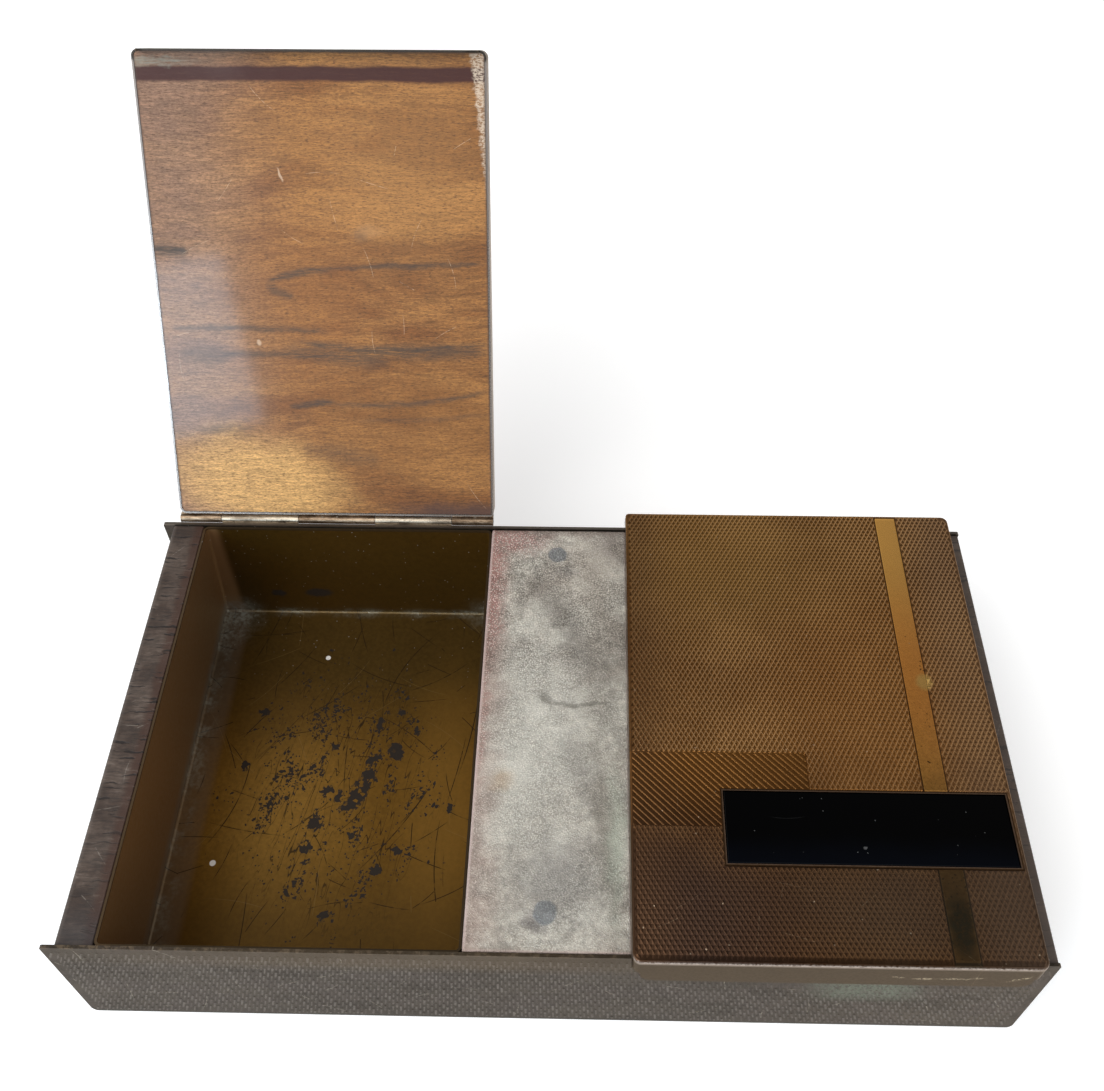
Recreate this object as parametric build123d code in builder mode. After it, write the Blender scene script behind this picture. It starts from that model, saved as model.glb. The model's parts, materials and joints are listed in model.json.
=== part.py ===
"""Desk box for cigarettes: a wrapped metal case with two trays, a leather
topped strip between them and two hinged, wood lined lids.

Millimetres. The origin is at the centre of the base, +X to the right,
-Y to the front, +Z up. The left lid stands open at its stop and the right
lid is closed.
"""
import os
from math import cos, radians, sin

from build123d import *

os.makedirs("parts", exist_ok=True)

# ---- case: one sheet wrapped under the box from front to back ----
case_width = 230.0        # tip to tip
case_depth = 124.0        # over the front and back plates
case_height = 43.5        # base to the top edges of the plates
case_sheet = 0.8
plate_foot_radius = 3.0   # lower corners of the plates
plate_tip_radius = 0.7    # upper corners of the plates

# ---- wooden end blocks ----
end_thickness = 8.8
end_below_edge = 0.8      # block tops lie below the plates' edges
end_setback = 0.2         # plate tips stand proud of the blocks
left_end_lean = 2.8       # the left block leans in at its top
end_arris = 0.3

# ---- strip between the trays ----
strip_width = 38.6
board_thickness = 4.2
leather_thickness = 0.8
leather_turn = 3.0        # leather turned down over the board's long edges
strip_below_edge = 0.3
leather_edge_radius = 0.6
screw_from_end = 9.1
screw_head = 5.8
screw_shank = 2.8
screw_bite = 21.0         # depth of the screws in the block
screw_clearance = 0.05
screw_hole_run = 1.0      # the holes go this far past the screws' points

# ---- lacquered trays ----
tray_sheet = 0.6
tray_corner = 1.5         # outside radius of the upright corners
tray_foot = 1.5           # outside radius where the walls meet the floor
fit = 0.1                 # clearance round pieces that drop into the case

# ---- lids ----
lid_over_strip = 0.3      # the lid's inner edge reaches over the strip's edge
lid_inset = 5.0           # the lid's outer edge from the plate tips
lip_gap = 2.7             # front plate to the inside of the lid's front lip
lid_thickness = 6.6
lid_landing = 0.2         # lid rim above the plates' edges
lid_sheet = 0.5
lid_corner = 1.9
lid_square_corner = 0.9   # back corner beside the strip
lid_edge_radius = 0.6
lid_lip_drop = 4.6        # front lip hangs this far below the rim
lid_lip_corner = 3.0
lining_recess = 0.1       # lining lies inside the rim
lining_fit = 0.1
open_angle = 119.4

# ---- black bar and its border, measured from the lid's edges ----
bar_from_inner = 22.2
bar_from_outer = 1.6
bar_from_front = 23.0
bar_height = 18.2
bar_thickness = 0.75
bar_bevel = 0.3
bar_fit = 0.05
border_width = 0.6
border_rise = 0.12

# ---- hinges ----
knuckle_radius = 1.3
pin_radius = 0.5
pin_clearance = 0.05
hinge_setback = 0.1       # knuckles stand off the back plate
hinge_rise = 0.4          # pin above the plates' edges
hinge_gap = 0.15          # running gap between knuckles
end_knuckle = 12.1
leaf_sheet = 0.6
leaf_reach = 8.5
lid_leaf_reach = 3.6
leaf_relief = 0.25        # leaf edges clear the other leaf's knuckles
lid_back_clearance = 0.2

# ---- derived places ----
half_depth = case_depth / 2
case_fold = case_sheet + fit          # outside radius of the two folds
inside_y = half_depth - case_sheet
end_top = case_height - end_below_edge
end_inner_x = case_width / 2 - end_setback - end_thickness
strip_top = case_height - strip_below_edge
board_top = strip_top - leather_thickness
board_bottom = board_top - board_thickness
board_width = strip_width - 2 * leather_thickness
strip_length = 2 * (inside_y - 3 * fit)
tray_inner_x = strip_width / 2 + fit
hinge_y = half_depth + hinge_setback + knuckle_radius
hinge_z = case_height + hinge_rise
lid_inner_x = strip_width / 2 - lid_over_strip
lid_width = case_width / 2 - lid_inset - lid_inner_x
lid_middle_x = lid_inner_x + lid_width / 2
lid_back = -(knuckle_radius + lid_back_clearance)
lid_front = -(hinge_y + half_depth + lip_gap + lid_sheet)
lid_rim = lid_landing - hinge_rise
lid_top = lid_rim + lid_thickness
lining_bottom = lid_rim + lining_recess
lining_top = lid_top - lid_sheet - lining_fit
bar_width = lid_width - bar_from_inner - bar_from_outer
bore_radius = pin_radius + pin_clearance
middle_knuckle = (lid_width - 2 * end_knuckle) / 3
knuckle_lengths = [end_knuckle, middle_knuckle, middle_knuckle, middle_knuckle, end_knuckle]


def save(part, label):
    """Name a finished piece and write it to its own file."""
    part.label = label
    export_step(part, f"parts/{label}.step")


# ---------------------------------------------------------------- case
with BuildPart() as case_shell:
    with BuildSketch(Plane.YZ):
        with Locations((0, case_height / 2)):
            Rectangle(case_depth, case_height)
        fillet(vertices().group_by(Axis.Y)[0], case_fold)
        with Locations((0, case_sheet + case_height / 2)):
            Rectangle(2 * inside_y, case_height, mode=Mode.SUBTRACT)
        fold_line = vertices().filter_by_position(Axis.Y, case_sheet - 0.01, case_sheet + 0.01)
        fillet(fold_line, case_fold - case_sheet)
    extrude(amount=case_width / 2, both=True)
    with BuildSketch(Plane.XZ):
        with Locations((0, case_height / 2)):
            Rectangle(case_width, case_height)
        fillet(vertices().group_by(Axis.Y)[0], plate_foot_radius)
        fillet(vertices().group_by(Axis.Y)[-1], plate_tip_radius)
    extrude(amount=half_depth, both=True, mode=Mode.INTERSECT)
save(case_shell.part, "case_shell")


# ---------------------------------------------------------------- end blocks
def make_end_block(side, lean):
    """Upright block between the plates; its top leans in by lean."""
    with BuildPart() as block:
        with BuildSketch(Plane.XZ):
            with BuildLine():
                Polyline(
                    (side * end_inner_x, case_sheet),
                    (side * (end_inner_x + end_thickness), case_sheet),
                    (side * (end_inner_x + end_thickness - lean), end_top),
                    (side * (end_inner_x - lean), end_top),
                    close=True,
                )
            make_face()
            foot = vertices().group_by(Axis.Y)[0].sort_by(Axis.X)
            fillet(foot[0] if side < 0 else foot[-1], plate_foot_radius - case_sheet / 2)
        extrude(amount=inside_y - fit, both=True)
        chamfer(block.faces().sort_by(Axis.Z)[-1].edges().filter_by(Axis.Y), end_arris)
    return block.part


save(make_end_block(-1, left_end_lean), "left_end_block")
save(make_end_block(1, 0), "right_end_block")

# ---------------------------------------------------------------- strip
screw_spots = [(0, s * (strip_length / 2 - screw_from_end)) for s in (-1, 1)]

with BuildPart() as centre_block:
    with BuildSketch(Plane.XY.offset(case_sheet)):
        Rectangle(strip_width, strip_length)
    extrude(amount=board_bottom - case_sheet)
    with Locations(Plane.XY.offset(board_bottom)):
        with Locations(*screw_spots):
            Hole(screw_shank / 2 + screw_clearance, depth=screw_bite + screw_hole_run)
save(centre_block.part, "centre_block")

with BuildPart() as centre_board:
    with BuildSketch(Plane.XY.offset(board_bottom)):
        Rectangle(board_width, strip_length)
    extrude(amount=board_thickness)
    with Locations(Plane.XY.offset(board_top)):
        with Locations(*screw_spots):
            CounterSinkHole(
                screw_shank / 2 + screw_clearance,
                screw_head / 2 + screw_clearance,
                depth=board_thickness,
                counter_sink_angle=90,
            )
save(centre_board.part, "centre_board")

with BuildPart() as centre_leather:
    with BuildSketch(Plane.XZ):
        with Locations((0, strip_top)):
            Rectangle(
                strip_width, leather_thickness + leather_turn, align=(Align.CENTER, Align.MAX)
            )
        fillet(vertices().group_by(Axis.Y)[-1], leather_edge_radius)
        with Locations((0, board_top)):
            Rectangle(
                board_width, leather_turn, align=(Align.CENTER, Align.MAX), mode=Mode.SUBTRACT
            )
    extrude(amount=strip_length / 2, both=True)
save(centre_leather.part, "centre_leather")

for name, spot in zip(("front", "back"), screw_spots):
    with BuildPart() as centre_screw:
        with BuildSketch(Plane.XZ.offset(-spot[1])):
            with BuildLine():
                Polyline(
                    (0, board_top),
                    (screw_head / 2, board_top),
                    (screw_shank / 2, board_top - (screw_head - screw_shank) / 2),
                    (screw_shank / 2, board_bottom - screw_bite + screw_shank),
                    (0, board_bottom - screw_bite),
                    close=True,
                )
            make_face()
        revolve(axis=Axis((spot[0], spot[1], 0), (0, 0, 1)))
    save(centre_screw.part, f"centre_screw_{name}")


# ---------------------------------------------------------------- trays
def make_tray(side, lean):
    """Open tray folded from lacquered sheet; its outer wall follows the end block."""
    near, far = tray_inner_x, end_inner_x - fit
    floor, rim = case_sheet, end_top
    run = lean / (end_top - case_sheet)

    def body(inset):
        with BuildPart() as solid:
            with BuildSketch(Plane.XZ):
                with BuildLine():
                    low = floor + inset
                    high = rim + inset
                    Polyline(
                        (side * (near + inset), low),
                        (side * (far - inset - run * inset), low),
                        (side * (far - inset - run * (high - floor)), high),
                        (side * (near + inset), high),
                        close=True,
                    )
                make_face()
            extrude(amount=inside_y - fit - inset, both=True)
            corner_edges = solid.edges().filter_by(lambda e: abs(e.center().Z - (low + high) / 2) < 1)
            fillet(corner_edges, tray_corner - inset)
            fillet(solid.faces().sort_by(Axis.Z)[0].edges(), tray_foot - inset)
        return solid.part

    with BuildPart() as tray:
        add(body(0))
        add(body(tray_sheet), mode=Mode.SUBTRACT)
    return tray.part


save(make_tray(-1, left_end_lean), "left_tray")
save(make_tray(1, 0), "right_tray")


# ---------------------------------------------------------------- lids
def lid_plane(angle):
    """Plane on the hinge pin that turns with the lid; y runs back, z is out of the lid."""
    a = radians(angle)
    return Plane(origin=(0, hinge_y, hinge_z), x_dir=(1, 0, 0), z_dir=(0, sin(a), cos(a)))


def lid_outline(side, inset):
    """Plan outline of a lid, drawn in the active sketch, with its four corner radii."""
    x0, x1 = lid_inner_x + inset, lid_inner_x + lid_width - inset
    y0, y1 = lid_front + inset, lid_back - inset
    with Locations((side * (x0 + x1) / 2, (y0 + y1) / 2)):
        Rectangle(x1 - x0, y1 - y0)
    back_inner = vertices().sort_by_distance((side * x0, y1))[0]
    fillet(back_inner, max(lid_square_corner - inset, 0.2))
    for corner in ((x0, y0), (x1, y0), (x1, y1)):
        nearest = vertices().sort_by_distance((side * corner[0], corner[1]))[0]
        fillet(nearest, lid_corner - inset)


def bar_sketch(side, grow):
    """Rectangle of the black bar, grown all round."""
    x = lid_inner_x + bar_from_inner + bar_width / 2
    y = lid_front + bar_from_front + bar_height / 2
    with Locations((side * x, y)):
        Rectangle(bar_width + 2 * grow, bar_height + 2 * grow)


def make_lid_shell(side, plane):
    """Shallow pan with a front lip and an opening for the bar."""
    with BuildPart() as shell:
        with BuildSketch(plane.offset(lid_rim)):
            lid_outline(side, 0)
        extrude(amount=lid_thickness)
        top_face = shell.faces().sort_by(lambda f: plane.to_local_coords(f.center()).Z)[-1]
        fillet(top_face.edges(), lid_edge_radius)
        with BuildSketch(plane.offset(lid_rim)):
            lid_outline(side, lid_sheet)
        extrude(amount=lid_thickness - lid_sheet, mode=Mode.SUBTRACT)
        lip_width = lid_width - 2 * lid_corner
        lip_plane = Plane(
            origin=plane.from_local_coords((0, lid_front, 0)),
            x_dir=plane.x_dir,
            z_dir=-plane.y_dir,
        )
        with BuildSketch(lip_plane):
            with Locations((side * lid_middle_x, lid_rim)):
                Rectangle(lip_width, lid_lip_drop, align=(Align.CENTER, Align.MAX))
            fillet(vertices().group_by(Axis.Y)[0], lid_lip_corner)
        extrude(amount=-lid_sheet)
        with BuildSketch(plane.offset(lid_top)):
            bar_sketch(side, border_width)
        extrude(amount=border_rise)
        with BuildSketch(plane.offset(lid_top + border_rise)):
            bar_sketch(side, bar_fit)
        extrude(amount=-(lid_sheet + border_rise), mode=Mode.SUBTRACT)
    return shell.part


def make_lining(side, plane):
    """Wood panel that fills the lid."""
    with BuildPart() as lining:
        with BuildSketch(plane.offset(lining_bottom)):
            lid_outline(side, lid_sheet + lining_fit)
        extrude(amount=lining_top - lining_bottom)
    return lining.part


def make_bar(side, plane):
    """Black glass bar that lies in the lid's opening, on the lining."""
    with BuildPart() as bar:
        with BuildSketch(plane.offset(lining_top)):
            bar_sketch(side, 0)
        extrude(amount=bar_thickness)
        top_face = bar.faces().sort_by(lambda f: plane.to_local_coords(f.center()).Z)[-1]
        chamfer(top_face.edges(), bar_bevel)
    return bar.part


def make_leaf(side, plane, on_lid):
    """Hinge leaf with rolled knuckles: three on the lid, two on the case."""
    x_start = lid_inner_x
    up = 1 if on_lid else -1
    face_y = lid_back if on_lid else half_depth - hinge_y
    clear = up * (knuckle_radius + leaf_relief)
    reach = clear + up * (lid_leaf_reach if on_lid else leaf_reach)
    across = Plane(origin=plane.origin, x_dir=plane.y_dir, z_dir=plane.x_dir)
    with BuildPart() as leaf:
        with BuildSketch(across.offset(side * lid_middle_x)):
            with Locations((face_y + leaf_sheet / 2, (clear + reach) / 2)):
                Rectangle(leaf_sheet, abs(reach - clear))
        extrude(amount=(lid_width - 2 * lid_corner) / 2, both=True)
        for number, length in enumerate(knuckle_lengths):
            if (number % 2 == 0) == on_lid:
                middle = side * (x_start + length / 2)
                with BuildSketch(across.offset(middle)):
                    Circle(knuckle_radius)
                    with Locations((face_y + leaf_sheet / 2, clear / 2)):
                        Rectangle(leaf_sheet, abs(clear))
                    Circle(bore_radius, mode=Mode.SUBTRACT)
                extrude(amount=(length - hinge_gap) / 2, both=True)
            x_start += length
    return leaf.part


def make_pin(side, plane):
    """Straight pin through all five knuckles."""
    across = Plane(origin=plane.origin, x_dir=plane.y_dir, z_dir=plane.x_dir)
    with BuildPart() as pin:
        with BuildSketch(across.offset(side * lid_middle_x)):
            Circle(pin_radius)
        extrude(amount=lid_width / 2, both=True)
    return pin.part


for name, side, angle in (("left", -1, open_angle), ("right", 1, 0)):
    turned, fixed = lid_plane(angle), lid_plane(0)
    save(make_lid_shell(side, turned), f"{name}_lid_shell")
    save(make_lining(side, turned), f"{name}_lid_lining")
    save(make_bar(side, turned), f"{name}_lid_bar")
    save(make_leaf(side, turned, True), f"{name}_lid_leaf")
    save(make_leaf(side, fixed, False), f"{name}_case_leaf")
    save(make_pin(side, fixed), f"{name}_hinge_pin")
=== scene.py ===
import json
import math

import bmesh
import bpy
from mathutils import Matrix, Vector, noise


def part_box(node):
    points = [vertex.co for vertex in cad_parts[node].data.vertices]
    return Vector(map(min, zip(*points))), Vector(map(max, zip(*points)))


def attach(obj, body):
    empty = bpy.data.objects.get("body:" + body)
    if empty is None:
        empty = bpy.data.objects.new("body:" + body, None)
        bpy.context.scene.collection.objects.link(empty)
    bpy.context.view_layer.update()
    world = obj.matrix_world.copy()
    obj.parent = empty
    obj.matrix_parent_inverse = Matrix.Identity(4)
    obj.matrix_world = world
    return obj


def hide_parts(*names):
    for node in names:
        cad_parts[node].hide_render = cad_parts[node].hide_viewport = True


# Looks of a desk box for cigarettes: engine-turned bronze plates, walnut-lined lids, lacquered
# trays and a worn leather strip. Places and sizes are in metres, in the CAD part's frame.
# Materials work in millimetres, in the place that a piece has when its lid is shut.

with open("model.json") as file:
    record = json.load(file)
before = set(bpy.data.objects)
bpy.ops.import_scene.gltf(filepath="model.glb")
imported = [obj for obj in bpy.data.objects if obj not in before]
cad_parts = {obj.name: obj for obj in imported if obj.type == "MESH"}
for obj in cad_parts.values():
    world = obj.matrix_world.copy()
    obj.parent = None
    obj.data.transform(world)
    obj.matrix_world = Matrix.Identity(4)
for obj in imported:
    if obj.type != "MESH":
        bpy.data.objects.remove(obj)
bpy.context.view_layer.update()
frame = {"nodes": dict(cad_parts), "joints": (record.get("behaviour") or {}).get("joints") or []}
MM = 0.001

# The camera, held by a person who stands at the desk.
CAMERA_PLACE = Vector((0.0072, -0.16252, 0.32254))
CAMERA_LOOK = Vector((-0.01638, 0.64705, -0.76227))
CAMERA_RIGHT = Vector((0.99979, 0.01971, -0.00475))
CAMERA_LENS = 40.36
CAMERA_SHIFT = (-0.0109, -0.04638)

# Engine turning on the lids: long diamonds, and ridges in one panel.
DIAMOND_WIDTH = 1.235 * MM
DIAMOND_LENGTH = 2.27 * MM
DIAMOND_RISE = 0.18 * MM
RIDGE_PITCH = 1.23 * MM
RIDGE_RISE = 0.085 * MM
RIDGE_FOOT = 0.42 * MM
RIDGE_FOOT_RISE = 0.15
RIDGE_TURN = math.radians(-45)
RELIEF_SINK = 0.02 * MM
RELIEF_RIM = 0.2 * MM
SAME_POINT = 1e-7
LID_EDGE = 0.55 * MM
LID_CORNER = 1.5 * MM
BAR_BORDER = 0.65 * MM
BORDER_RISE = 0.12 * MM

# Panels on a lid's top, as distances from its inner, outer and front edges.
STRIPE_FROM_OUTER = 14.8 * MM
STRIPE_WIDTH = 6.0 * MM
STRIPE_RISE = 0.07 * MM
STRIPE_BEVEL = 0.3 * MM
HATCH_WIDTH = 43.0 * MM
HATCH_FROM_FRONT = 32.1 * MM
HATCH_DEPTH = 19.3 * MM

# Engine turning on the case's front and back: short strokes in slanting rows.
STROKE_PITCH = 0.98 * MM
STROKE_STEP = -2.47 * MM
STROKE_REPEAT = 9.88 * MM
STROKE_FAN = 3.1
STROKE_REACH = 1.15
STROKE_WIDTH = 0.84 * MM
STROKE_LENGTH = 4.1 * MM
STROKE_RISE = 0.15 * MM
DIM_STROKE = 0.62
PLATE_TOP_MARGIN = 2.4 * MM
PLATE_FOOT_MARGIN = 1.8 * MM
PLATE_END_MARGIN = 0.9 * MM

# Where hands have rubbed the front's strokes nearly flat: along X, and upwards from Z.
RUBBED_PLACE = Vector((63, 25)) * MM
RUBBED_SIZE = Vector((20, 2)) * MM
RUBBED_DEPTH = 0.8

# The leather strip.
LEATHER_EDGE = 0.6 * MM
LEATHER_TURN = 3.0 * MM
LEATHER_THICKNESS = 0.8 * MM
LEATHER_SHEET = 0.45 * MM
LEATHER_CELL = 0.34 * MM
LEATHER_LIFT = 0.14 * MM
LEATHER_DROP = 0.12 * MM
LEATHER_ROUND = 0.8 * MM
LEATHER_MARGIN = 0.16 * MM
SCREW_PLACES = (Vector((-0.0004, 0.0518)), Vector((-0.0007, -0.0516)))

# The room that the metal reflects.
ROOM_WALL = (1.0, 1.0, 1.0)
ROOM_LEFT = (0.95, 0.97, 1.0)
ROOM_RIGHT = (0.34, 0.33, 0.32)
ROOM_OVERHEAD = (0.15, 0.145, 0.14)
FLOOR_REACH = 4.0


def hinge_of(side):
    """Where a lid's hinge is, and how far in radians that lid stands open at rest."""
    joint = next(j for j in frame["joints"] if j["name"] == f"{side}_lid_hinge")
    open_turn = -min(joint["range_deg"]) if side == "left" else 0.0
    return Vector(joint["pos_m"]), math.radians(open_turn)


def add_object(name, data):
    """Puts a new object with this data into the scene."""
    made = bpy.data.objects.new(name, data)
    bpy.context.collection.objects.link(made)
    return made


# ---------------------------------------------------------------- nodes


def feed(socket, value):
    """Links a value to a socket, or sets the socket to a plain number or colour."""
    if isinstance(value, Value):
        socket.id_data.links.new(value.socket, socket)
    elif socket.type == "RGBA":
        socket.default_value = (*value, 1)
    else:
        socket.default_value = value


class Value:
    """A number, vector or colour that a node gives, with short ways to build more on it."""

    def __init__(self, socket):
        self.socket = socket

    def node(self, kind, inputs, output=0, **settings):
        """Adds a node to the same tree, feeds its inputs and gives one of its outputs."""
        made = self.socket.id_data.nodes.new("ShaderNode" + kind)
        for name, setting in settings.items():
            setattr(made, name, setting)
        for name, value in inputs.items():
            feed(made.inputs[name], value)
        return Value(made.outputs[output])

    def operate(self, operation, other=0.0, kind="Math"):
        return self.node(kind, {0: self, 1: other}, operation=operation)

    def __add__(self, other):
        return self.operate("ADD", other)

    def __sub__(self, other):
        return self.operate("SUBTRACT", other)

    def __mul__(self, other):
        return self.operate("MULTIPLY", other)

    def __abs__(self):
        return self.operate("ABSOLUTE")

    def axes(self):
        """The three parts of a vector or of a colour."""
        kind = "SeparateColor" if self.socket.type == "RGBA" else "SeparateXYZ"
        return [Value(part) for part in self.node(kind, {0: self}).socket.node.outputs]

    def ramp(self, start, end, low=0.0, high=1.0):
        """low where the value is at start, high where it is at end, smooth between."""
        names = ("Value", "From Min", "From Max", "To Min", "To Max")
        inputs = dict(zip(names, (self, start, end, low, high)))
        return self.node("MapRange", inputs, interpolation_type="SMOOTHSTEP")

    def band(self, start, end, soft):
        """1 between start and end, fading out over soft on both sides of each."""
        return self.ramp(start - soft, start + soft) * self.ramp(end + soft, end - soft)

    def between(self, a, b):
        """The colour a where this value is 0, b where it is 1, and a blend between."""
        return self.node("Mix", {0: self, 6: a, 7: b}, 2, data_type="RGBA")

    def tinted(self, by):
        """This colour multiplied by another, or by one number."""
        if isinstance(by, Value) and by.socket.type == "VALUE":
            by = by.node("CombineColor", {0: by, 1: by, 2: by})
        return self.node("Mix", {0: 1.0, 6: self, 7: by}, 2, data_type="RGBA", blend_type="MULTIPLY")

    def noise(self, scale, detail, roughness, distortion=0.0, output=0):
        values = {"Scale": scale, "Detail": detail, "Roughness": roughness}
        return self.node("TexNoise", {"Vector": self, "Distortion": distortion, **values}, output)

    def cells(self, scale):
        """What a Voronoi texture gives for each cell, by the names of its outputs."""
        first = self.node("TexVoronoi", {"Vector": self, "Scale": scale})
        return {output.name: Value(output) for output in first.socket.node.outputs}

    def mapped(self, **inputs):
        return self.node("Mapping", {"Vector": self, **inputs})

    def scaled(self, scale, turn=0.0, shift=(0, 0, 0)):
        """The vector turned about Z in degrees, then scaled along each axis and shifted."""
        vector = self.mapped(Rotation=(0, 0, math.radians(turn))) if turn else self
        return vector.mapped(Scale=scale, Location=shift)

    def turned(self, axis, angle):
        inputs = {"Vector": self, "Angle": angle}
        return self.node("VectorRotate", inputs, rotation_type=f"{axis}_AXIS")

    def upright(self):
        """The vector with its X and Z on the XY plane, for marks on upright faces."""
        return self.turned("X", math.radians(-90))

    def ragged(self, amount, scale):
        """The vector moved by noise, so that marks made with it have uneven edges."""
        colour = self.noise(scale, 3, 0.5, output=1).axes()
        vector = self.node("CombineXYZ", dict(enumerate(colour)))
        centred = vector.operate("SUBTRACT", (0.5, 0.5, 0.5), "VectorMath")
        inputs = {0: centred, 1: (2 * amount, 2 * amount, 2 * amount), 2: self}
        return self.node("VectorMath", inputs, operation="MULTIPLY_ADD")

    def spot(self, centre, size, turn=0.0, soft=0.8):
        """1 inside an ellipse on the XY plane: size is its half lengths, turn in degrees."""
        local = self.scaled((1, 1, 0), shift=(-centre[0], -centre[1], 0))
        local = local.scaled((1 / size[0], 1 / size[1], 0), turn=-turn)
        reach = local.node("VectorMath", {0: local}, "Value", operation="LENGTH")
        return reach.ramp(1 + soft, 1 - soft)

    def spots(self, soft, rows):
        """1 inside any of several ellipses: centre, half lengths and perhaps a turn."""
        return most(*(self.spot(*row, soft=soft) for row in rows))


def most(first, *others):
    """The greatest of the values."""
    for value in others:
        first = first.operate("MAXIMUM", value)
    return first


class Material:
    """One procedural material, whose colour is painted coat over coat."""

    def __init__(self, name, **shader_values):
        self.data = bpy.data.materials.new(name)
        self.data.use_nodes = True
        self.tree = self.data.node_tree
        self.set(**shader_values)

    def set(self, **shader_values):
        sockets = self.tree.nodes["Principled BSDF"].inputs
        for name, value in shader_values.items():
            feed(sockets[name.replace("_", " ")], value)

    def place(self, side=None):
        """Millimetres, with the left lid turned back to shut and mirrored onto the right."""
        place = Value(self.tree.nodes.new("ShaderNodeTexCoord").outputs["Object"])
        to_mm = (1000, 1000, 1000)
        if side != "left":
            return place.mapped(Scale=to_mm)
        hinge, turn = hinge_of(side)
        shift = (hinge - Matrix.Rotation(turn, 3, "X") @ hinge) * 1000
        return place.mapped(Scale=to_mm, Rotation=(turn, 0, 0), Location=shift).scaled((-1, 1, 1))

    def paint(self, tone, mask):
        """Covers the colour so far with a tone, as far as the mask says."""
        self.colour = mask.between(self.colour, tone)

    def tint(self, by):
        self.colour = self.colour.tinted(by)

    def patches(self, place, soft, rows):
        """Paints ellipses: centre, half lengths, turn in degrees, tone and strength."""
        for centre, size, turn, tone, strength in rows:
            self.paint(tone, place.spot(centre, size, turn, soft) * strength)

    def finish(self, roughness, surface, bump_distance, bump_strength, **others):
        inputs = {"Height": surface, "Distance": bump_distance, "Strength": bump_strength}
        normal = surface.node("Bump", inputs, "Normal")
        self.set(Base_Color=self.colour, Roughness=roughness, Normal=normal, **others)
        return self.data


# ---------------------------------------------------------------- marks


def scratches(place, turn, length, pitch, width):
    """1 on fine broken lines that run at turn degrees, about length long and pitch apart."""
    along = place.scaled((1 / length, 1 / pitch, 0.3), turn=-turn)
    return abs(along.noise(1.0, 1, 0.4) - 0.5).ramp(width, width * 0.3)


def hairlines(place, size, width, share, turn=0.0, spread=math.pi, bend=0.25):
    """1 on separate fine scratches, one to a cell of the given size, curved and turned."""
    place = place.scaled((1 / size, 1 / size, 0))
    cell = place.cells(1.0)
    chance = cell["Color"].axes()
    away = place.operate("SUBTRACT", cell["Position"], "VectorMath")
    angle = (chance[0] - 0.5) * (2 * spread) - math.radians(turn)
    x, y, _ = away.turned("Z", angle).axes()
    arc = x * x * (chance[1] - 0.5) * (2 * bend)
    line = abs(y - arc).ramp(width / size, width / size * 0.35)
    return line * abs(x).ramp(0.6, 0.25) * chance[2].ramp(share, share * 0.9)


def flakes(place, size, share):
    """1 on angular flakes of about the given size, which cover the given share."""
    cell = place.scaled((1 / size, 1 / size, 0)).cells(1.0)
    return (share - cell["Color"].axes()[1]).ramp(0.0, 0.012)


def flaked(place, size):
    """The vector held still inside uneven cells, so that marks made with it break off sharply."""
    cell = place.scaled((1 / size, 1 / size, 0)).cells(1.0)
    return cell["Position"].scaled((size, size, size))


def specks(place, size, share):
    """1 on small uneven specks about size wide, in the given share of the places."""
    cell = place.ragged(size * 0.4, 1.5 / size).cells(0.35 / size)
    chosen = cell["Color"].axes()[0].ramp(share, share * 0.8)
    return cell["Distance"].ramp(0.3, 0.18) * chosen


def streak(place, start, end, bend, width):
    """1 on a thin streak from start to end that bows by bend, and thins out at its ends."""
    along = Vector(end) - Vector(start)
    middle = (Vector(start) + Vector(end)) / 2
    local = place.scaled((1, 1, 0), shift=(-middle.x, -middle.y, 0))
    turn = math.degrees(math.atan2(along.y, along.x))
    x, y, _ = local.scaled((2 / along.length, 1 / width, 0), turn=-turn).axes()
    out = x * x
    side = bend / width if along.x > 0 else -bend / width
    near = abs(y - side + out * side) + out * 0.6
    return near.ramp(1.8, 0.1) * out.ramp(1.0, 0.5)


# ---------------------------------------------------------------- materials


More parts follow.
